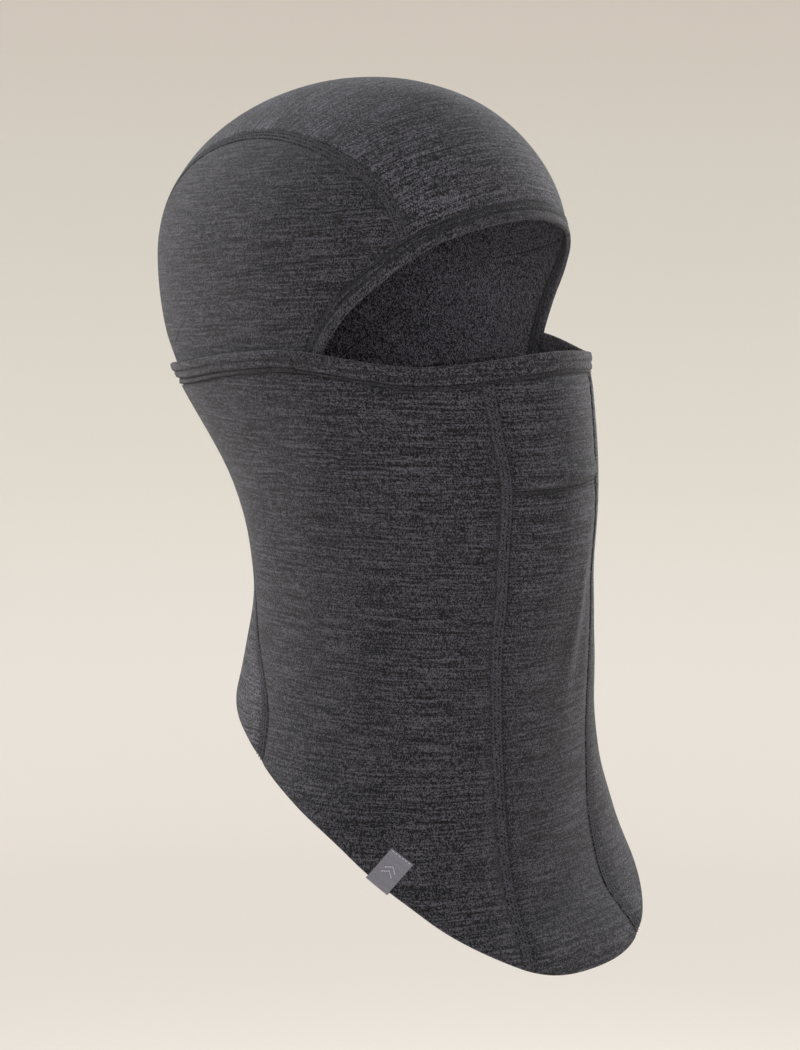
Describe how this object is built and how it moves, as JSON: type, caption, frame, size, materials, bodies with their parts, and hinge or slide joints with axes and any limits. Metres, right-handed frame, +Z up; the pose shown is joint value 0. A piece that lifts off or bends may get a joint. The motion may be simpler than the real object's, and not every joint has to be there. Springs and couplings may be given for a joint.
{
  "type": "balaclava",
  "caption": "Fine-knit hinged balaclava: a panelled hood joined at the nape to a neck gaiter whose free front hem pulls down off the face.",
  "frame": {"origin": "middle of the wearer's head at its widest level, on the garment's plane of symmetry", "axes": "+Z up, -Y the way the wearer faces, +X the wearer's left"},
  "size_m": [0.1646, 0.2365, 0.3717],
  "materials": {
    "side_knit": "charcoal heather jersey, matt, fine knit with light and dark streaks",
    "crown_knit": "charcoal heather jersey, matt, streaks running across the head",
    "binding_knit": "charcoal heather jersey folded double, matt",
    "flatlock_thread": "flat overlocked seam in fine charcoal thread",
    "stitch_thread": "dark sewing thread, slight sheen",
    "label_cloth": "grey woven label tape, satin",
    "label_thread": "pale sewing thread"
  },
  "bodies": {
    "garment": {"crown_panel": "crown_knit", "left_hood_panel": "side_knit", "right_hood_panel": "side_knit", "brow_binding": "binding_knit", "left_crown_seam": "flatlock_thread", "right_crown_seam": "flatlock_thread", "brow_stitch_row_1": "stitch_thread", "brow_stitch_row_2": "stitch_thread", "mouth_panel": "side_knit", "chest_panel": "side_knit", "left_neck_panel": "side_knit", "right_neck_panel": "side_knit", "nape_panel": "crown_knit", "left_front_seam": "flatlock_thread", "right_front_seam": "flatlock_thread", "left_back_seam": "flatlock_thread", "right_back_seam": "flatlock_thread", "mouth_seam": "flatlock_thread", "nape_hem": "binding_knit", "nape_stitch_row_1": "stitch_thread", "nape_stitch_row_2": "stitch_thread", "hem_label": "label_cloth", "label_stitching": "label_thread"},
    "mask": {"mask_hem": "binding_knit", "mask_stitch_row_1": "stitch_thread", "mask_stitch_row_2": "stitch_thread"}
  },
  "joints": [
    {"name": "mask_pull_down", "type": "slide", "parent": "garment", "child": "mask", "axis": [0, 0, -1], "range_m": [0, 0.085], "deforming": ["mouth_panel", "chest_panel", "left_neck_panel", "right_neck_panel", "left_front_seam", "right_front_seam", "mouth_seam"]}
  ]
}
